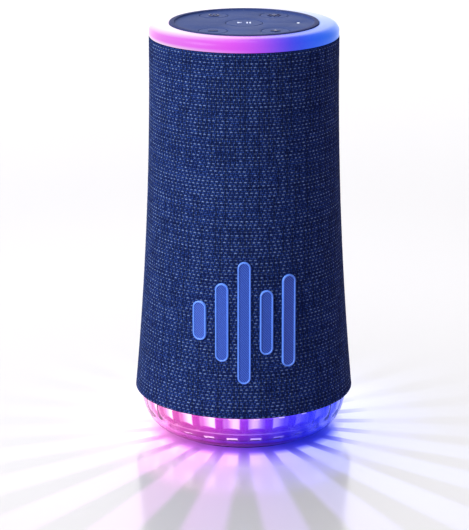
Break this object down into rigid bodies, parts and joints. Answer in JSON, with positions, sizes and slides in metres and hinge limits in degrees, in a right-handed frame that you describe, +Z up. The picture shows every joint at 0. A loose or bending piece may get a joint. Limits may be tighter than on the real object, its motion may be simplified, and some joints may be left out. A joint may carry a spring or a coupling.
{
  "type": "party speaker",
  "caption": "Upright round battery speaker in woven fabric with a glowing top ring, a round touch-key deck, a clear fluted light base and a rubber-covered charging socket.",
  "frame": {"origin": "centre of the foot ring on the floor", "axes": "+Z up, -Y towards the front with the badge, +X to the right seen from the front"},
  "size_m": [0.096, 0.096, 0.181],
  "materials": {
    "cloth": "matte",
    "shell_black": "matte",
    "badge_blue": "gloss",
    "seal_rubber": "matte",
    "screw_steel": "satin",
    "motor_steel": "satin",
    "plate_alu": "satin",
    "cone_paper": "matte",
    "spider_cloth": "matte",
    "board": "satin",
    "lamp": "gloss",
    "clear": "gloss",
    "reflector": "gloss",
    "diffuser": "satin",
    "plate_black": "satin",
    "panel_blue": "satin"
  },
  "bodies": {
    "housing": {"fabric_sleeve": "cloth", "grille_shell": "shell_black", "acoustic_core": "shell_black", "core_lid": "shell_black", "base_frame": "shell_black", "top_frame": "shell_black", "front_basket": "shell_black", "rear_basket": "shell_black", "left_radiator_frame": "shell_black", "right_radiator_frame": "shell_black", "battery_tray": "shell_black", "badge_bars": "badge_blue", "lid_seal": "seal_rubber", "foot_ring": "seal_rubber", "front_surround": "seal_rubber", "rear_surround": "seal_rubber", "left_radiator_surround": "seal_rubber", "right_radiator_surround": "seal_rubber", "key_membrane": "seal_rubber", "upper_screws": "screw_steel", "driver_screws": "screw_steel", "base_screws": "screw_steel", "usb_socket": "screw_steel", "front_top_plate": "motor_steel", "rear_top_plate": "motor_steel", "front_yoke": "motor_steel", "rear_yoke": "motor_steel", "front_magnet": "motor_steel", "rear_magnet": "motor_steel", "battery_cells": "plate_alu", "front_spider": "spider_cloth", "rear_spider": "spider_cloth", "main_board": "board", "port_board": "board", "lamp_board": "board", "ring_board": "board", "key_board": "board", "base_lamps": "lamp", "ring_lamps": "lamp", "status_light": "lamp", "base_lens": "clear", "light_crown": "reflector", "light_ring": "diffuser", "base_plate": "plate_black", "port_bezel": "plate_black", "control_panel": "panel_blue"},
    "front_diaphragm": {"front_cone": "cone_paper", "front_voice_coil": "plate_alu"},
    "rear_diaphragm": {"rear_cone": "cone_paper", "rear_voice_coil": "plate_alu"},
    "left_radiator": {"left_radiator_plate": "plate_alu"},
    "right_radiator": {"right_radiator_plate": "plate_alu"},
    "play_button": {"play_key": "panel_blue"},
    "power_button": {"power_key": "panel_blue"},
    "light_button": {"light_key": "panel_blue"},
    "volume_down_button": {"volume_down_key": "panel_blue"},
    "volume_up_button": {"volume_up_key": "panel_blue"},
    "port_cover": {"port_flap": "seal_rubber"}
  },
  "joints": [
    {"name": "front_cone_slide", "type": "slide", "parent": "housing", "child": "front_diaphragm", "axis": [0, -1, 0], "range_m": [-0.002, 0.002], "stiffness_N_per_m": 800, "deforming": ["front_surround", "front_spider"]},
    {"name": "rear_cone_slide", "type": "slide", "parent": "housing", "child": "rear_diaphragm", "axis": [0, 1, 0], "range_m": [-0.002, 0.002], "stiffness_N_per_m": 800, "deforming": ["rear_surround", "rear_spider"]},
    {"name": "left_radiator_slide", "type": "slide", "parent": "housing", "child": "left_radiator", "axis": [-1, 0, 0], "range_m": [-0.003, 0.003], "stiffness_N_per_m": 600, "deforming": ["left_radiator_surround"]},
    {"name": "right_radiator_slide", "type": "slide", "parent": "housing", "child": "right_radiator", "axis": [1, 0, 0], "range_m": [-0.003, 0.003], "stiffness_N_per_m": 600, "deforming": ["right_radiator_surround"]},
    {"name": "play_press", "type": "slide", "parent": "housing", "child": "play_button", "axis": [0, 0, -1], "range_m": [0, 0.0005], "stiffness_N_per_m": 1500, "springref_m": -0.0003},
    {"name": "power_press", "type": "slide", "parent": "housing", "child": "power_button", "axis": [0, 0, -1], "range_m": [0, 0.0005], "stiffness_N_per_m": 1500, "springref_m": -0.0003},
    {"name": "light_press", "type": "slide", "parent": "housing", "child": "light_button", "axis": [0, 0, -1], "range_m": [0, 0.0005], "stiffness_N_per_m": 1500, "springref_m": -0.0003},
    {"name": "volume_down_press", "type": "slide", "parent": "housing", "child": "volume_down_button", "axis": [0, 0, -1], "range_m": [0, 0.0005], "stiffness_N_per_m": 1500, "springref_m": -0.0003},
    {"name": "volume_up_press", "type": "slide", "parent": "housing", "child": "volume_up_button", "axis": [0, 0, -1], "range_m": [0, 0.0005], "stiffness_N_per_m": 1500, "springref_m": -0.0003},
    {"name": "port_cover_hinge", "type": "hinge", "parent": "housing", "child": "port_cover", "pos_m": [-0.0066, 0.04617, 0.036], "axis": [0, 0, 1], "range_deg": [0, 110]}
  ]
}
